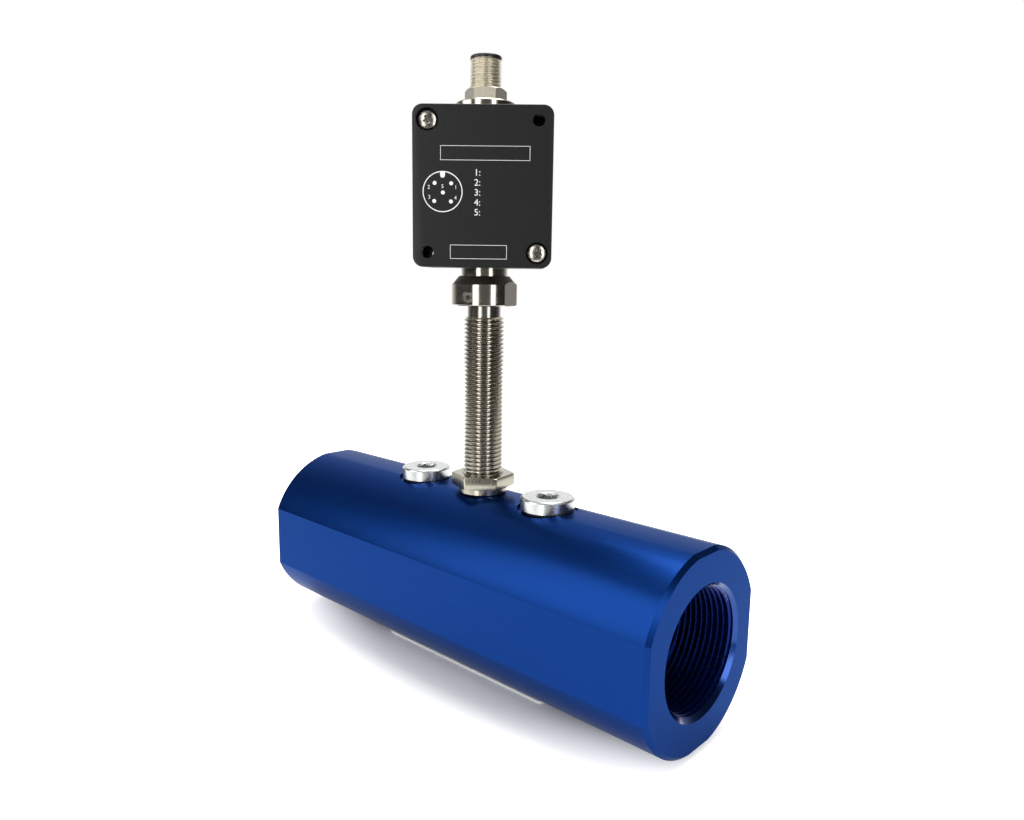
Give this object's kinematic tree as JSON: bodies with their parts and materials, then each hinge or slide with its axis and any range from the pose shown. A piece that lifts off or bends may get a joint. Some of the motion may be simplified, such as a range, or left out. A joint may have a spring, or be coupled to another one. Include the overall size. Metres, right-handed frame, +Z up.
{
  "type": "turbine flow meter",
  "caption": "Inline turbine flow meter: round flatted body with threaded ports, bladed rotor on a shaft, threaded pickup stem and a swivelling electronics head with round plug connector.",
  "frame": {"origin": "centre of the underside, on the standing surface straight below the stem", "axes": "+X along the flow from inlet to outlet, +Z up along the stem, -Y towards the front of the body"},
  "size_m": [0.21, 0.068, 0.243],
  "materials": {
    "blue_anodised": "anodised blue",
    "plate": "satin, bare",
    "rotor_steel": "machined",
    "bushing": "ground carbide",
    "shaft": "ground",
    "thrust_washer": "lapped",
    "support_steel": "machined",
    "spring_steel": "oiled",
    "zinc_plate": "bright zinc plated",
    "seal_rubber": "black",
    "stainless": "turned, threaded",
    "nut_steel": "machined",
    "hub_steel": "polished",
    "screw_steel": "plain",
    "soft_iron": "plain",
    "bobbin_nylon": "moulded",
    "copper_wire": "enamelled copper",
    "magnet": "sintered",
    "black_anodised": "anodised black",
    "screw_plate": "nickel plated",
    "board_green": "solder mask",
    "component_black": "moulded",
    "nickel_brass": "nickel plated brass",
    "insert_black": "moulded",
    "gold_pins": "gold plated"
  },
  "bodies": {
    "flow_body": {"meter_body": "blue_anodised", "underside_plate": "plate", "rotor_shaft": "shaft", "inlet_thrust_washer": "thrust_washer", "outlet_thrust_washer": "thrust_washer", "inlet_support": "support_steel", "outlet_support": "support_steel", "inlet_snap_ring": "spring_steel", "outlet_snap_ring": "spring_steel", "inlet_plug": "zinc_plate", "outlet_plug": "zinc_plate", "inlet_plug_seal": "seal_rubber", "outlet_plug_seal": "seal_rubber", "stem_o_ring": "seal_rubber", "pickup_stem": "stainless", "jam_nut": "nut_steel", "pickup_pole": "soft_iron", "pickup_bobbin": "bobbin_nylon", "pickup_coil": "copper_wire", "pickup_magnet": "magnet"},
    "rotor": {"rotor": "rotor_steel", "rotor_bushing": "bushing"},
    "head": {"swivel_hub": "hub_steel", "set_screw": "screw_steel", "hub_nut": "nut_steel", "head_case": "black_anodised", "head_cover": "black_anodised", "cover_gasket": "seal_rubber", "cover_screws": "screw_plate", "circuit_board": "board_green", "board_components": "component_black", "board_screws": "screw_plate", "connector_washer": "hub_steel", "connector_shell": "nickel_brass", "connector_insert": "insert_black", "connector_pins": "gold_pins", "connector_nut": "nickel_brass"}
  },
  "joints": [
    {"name": "rotor_spin", "type": "hinge", "parent": "flow_body", "child": "rotor", "pos_m": [0, 0, 0.0369], "axis": [1, 0, 0], "continuous": true},
    {"name": "head_swivel", "type": "hinge", "parent": "flow_body", "child": "head", "pos_m": [0, 0, 0.15], "axis": [0, 0, 1], "range_deg": [-170, 170]}
  ]
}
